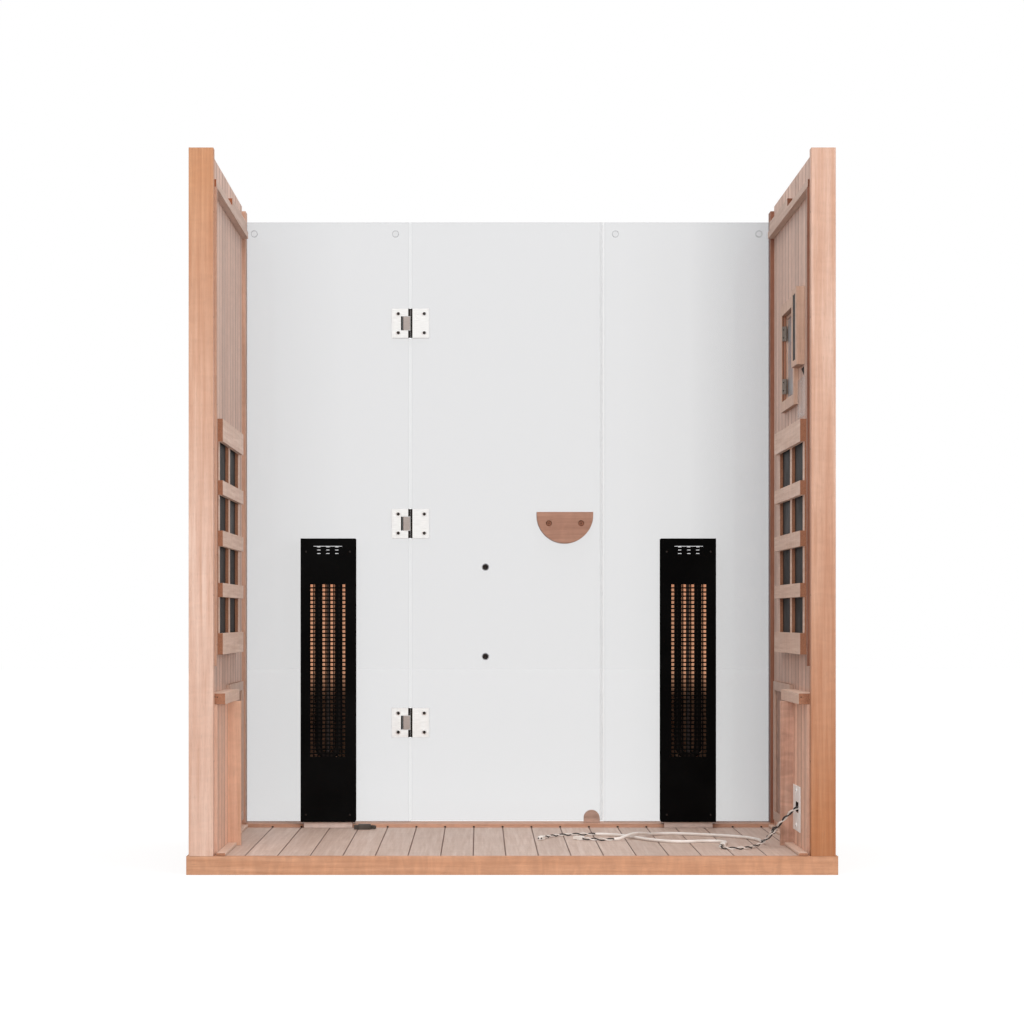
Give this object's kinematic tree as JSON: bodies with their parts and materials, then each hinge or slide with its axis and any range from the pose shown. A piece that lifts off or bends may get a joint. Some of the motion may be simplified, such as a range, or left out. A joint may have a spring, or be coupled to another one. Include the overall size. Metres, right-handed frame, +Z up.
{
  "type": "infrared sauna cabin",
  "caption": "Infrared sauna cabin with boarded side walls, an all-glass front with a hinged door and black tower heaters; rear wall, roof and bench are off.",
  "frame": {"origin": "middle of the base on the floor", "axes": "+Z up, +Y from the open rear towards the glass front, +X to the right seen from the rear"},
  "size_m": [1.728, 1.168, 1.928],
  "materials": {
    "stile_wood": "planed softwood, oiled",
    "lining_wood": "planed tongue-and-groove boards",
    "floor_wood": "planed floor boards",
    "brown_wood": "stained and lacquered",
    "glass": "clear tempered",
    "satin_steel": "satin",
    "black_metal": "black powder coat",
    "copper": "bright copper-coloured sheet",
    "element_black": "matt dark ceramic coat",
    "carbon": "dark woven carbon sheet",
    "clear_plastic": "clear extruded strip",
    "white_plastic": "white sheath and moulded connector",
    "grey_plastic": "moulded"
  },
  "bodies": {
    "cabin": {"base_rear_rail": "stile_wood", "base_front_rail": "stile_wood", "base_left_rail": "stile_wood", "base_right_rail": "stile_wood", "floor_deck": "floor_wood", "left_rear_stile": "stile_wood", "left_front_post": "stile_wood", "left_lining": "lining_wood", "left_wall_panel": "stile_wood", "left_roof_ledge": "lining_wood", "left_roof_block": "lining_wood", "left_rear_batten": "stile_wood", "left_heater_panel": "carbon", "left_heater_guard": "lining_wood", "left_bench_cleat": "lining_wood", "left_bench_board": "stile_wood", "right_rear_stile": "stile_wood", "right_front_post": "stile_wood", "right_lining": "lining_wood", "right_wall_panel": "stile_wood", "right_roof_ledge": "lining_wood", "right_roof_block": "lining_wood", "right_rear_batten": "stile_wood", "right_heater_panel": "carbon", "right_heater_guard": "lining_wood", "right_bench_cleat": "lining_wood", "right_bench_board": "stile_wood", "left_tower_housing": "black_metal", "left_tower_grille": "black_metal", "left_tower_reflector": "copper", "left_tower_element": "element_black", "left_tower_foot": "lining_wood", "right_tower_housing": "black_metal", "right_tower_grille": "black_metal", "right_tower_reflector": "copper", "right_tower_element": "element_black", "right_tower_foot": "lining_wood", "left_glass": "glass", "right_glass": "glass", "hinge_top_wall_leaf": "satin_steel", "hinge_middle_wall_leaf": "satin_steel", "hinge_bottom_wall_leaf": "satin_steel", "door_stop": "brown_wood", "media_frame": "lining_wood", "control_box": "lining_wood", "cable_cover": "white_plastic", "lead_near": "white_plastic", "lead_far": "white_plastic", "connector_near": "white_plastic", "connector_far": "white_plastic", "tower_plug": "grey_plastic"},
    "door": {"door_glass": "glass", "hinge_top_door_leaf": "satin_steel", "hinge_middle_door_leaf": "satin_steel", "hinge_bottom_door_leaf": "satin_steel", "handle_inside": "brown_wood", "handle_outside": "brown_wood", "door_seal": "clear_plastic"},
    "media_flap": {"media_door": "lining_wood", "media_glass": "glass"}
  },
  "joints": [
    {"name": "door_swing", "type": "hinge", "parent": "cabin", "child": "door", "pos_m": [-0.3073, 0.54, 0.968], "axis": [0, 0, 1], "range_deg": [0, 90]},
    {"name": "media_door_swing", "type": "hinge", "parent": "cabin", "child": "media_flap", "pos_m": [0.8035, 0.1575, 1.434], "axis": [0, 0, -1], "range_deg": [0, 100]}
  ]
}
